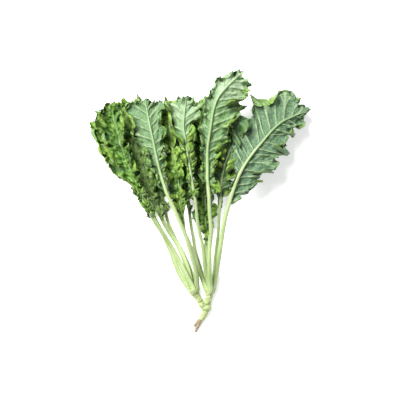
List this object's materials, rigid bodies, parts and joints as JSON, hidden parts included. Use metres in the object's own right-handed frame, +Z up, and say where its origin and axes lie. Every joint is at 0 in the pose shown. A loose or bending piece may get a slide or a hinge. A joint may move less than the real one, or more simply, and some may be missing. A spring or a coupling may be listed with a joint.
{
  "type": "kale bunch",
  "caption": "Bunch of curly kale lying flat: long pale stalks fan out from a short forked stem with a torn foot and carry frilled, lobed green blades.",
  "frame": {"origin": "on the table, under the middle of the bunch's bounding box", "axes": "+Y from the torn foot towards the leaf tips, +Z up from the table, +X to the right seen from above"},
  "size_m": [0.3166, 0.3722, 0.0896],
  "materials": {
    "stem": "smooth, waxy, pale yellow green",
    "torn_foot": "torn fibres, dry and brown",
    "stalk": "smooth, waxy, pale green",
    "blade": "leaf, upper side uppermost, green with a yellower margin",
    "blade_turned": "leaf, underside uppermost, grey green with raised pale veins"
  },
  "bodies": {
    "root": {"stem": "stem", "torn_foot": "torn_foot", "leaf_01_stalk": "stalk", "leaf_02_stalk": "stalk", "leaf_03_stalk": "stalk", "leaf_04_stalk": "stalk", "leaf_05_stalk": "stalk", "leaf_06_stalk": "stalk", "leaf_07_stalk": "stalk", "leaf_08_stalk": "stalk", "leaf_09_stalk": "stalk", "leaf_10_stalk": "stalk", "leaf_11_stalk": "stalk", "leaf_12_stalk": "stalk", "leaf_01_blade": "blade", "leaf_02_blade": "blade", "leaf_03_blade": "blade", "leaf_04_blade": "blade", "leaf_05_blade": "blade_turned", "leaf_06_blade": "blade", "leaf_07_blade": "blade", "leaf_08_blade": "blade_turned", "leaf_09_blade": "blade", "leaf_10_blade": "blade_turned", "leaf_11_blade": "blade_turned", "leaf_12_blade": "blade_turned"}
  },
  "joints": []
}
